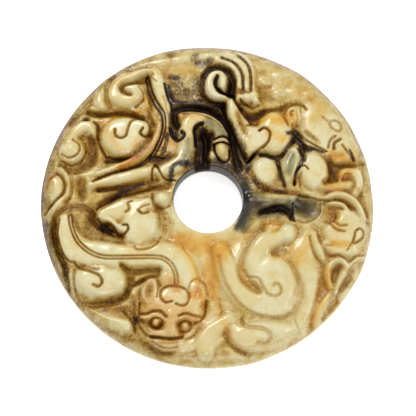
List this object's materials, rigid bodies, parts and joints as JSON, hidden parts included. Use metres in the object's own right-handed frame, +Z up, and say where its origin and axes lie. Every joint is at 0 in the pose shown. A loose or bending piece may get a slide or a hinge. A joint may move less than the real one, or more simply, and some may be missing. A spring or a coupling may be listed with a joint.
{
  "type": "jade bi disc",
  "caption": "Round flat stone disc with a central hole, its upper face carved in relief with coiling mythical beasts, scrolls and a round mask; its back plain.",
  "frame": {"origin": "the middle of the hole, in the plane of the flat back that the disc lies on", "axes": "+Z up out of the carved face, +Y towards the scroll at the top of the carved face, +X to the right of it"},
  "size_m": [0.07, 0.0699, 0.0068],
  "materials": {
    "jade": "polished pale celadon jade with brown, orange and near-black staining in the cuts"
  },
  "bodies": {
    "root": {"jade_bi_disc": "jade"}
  },
  "joints": []
}
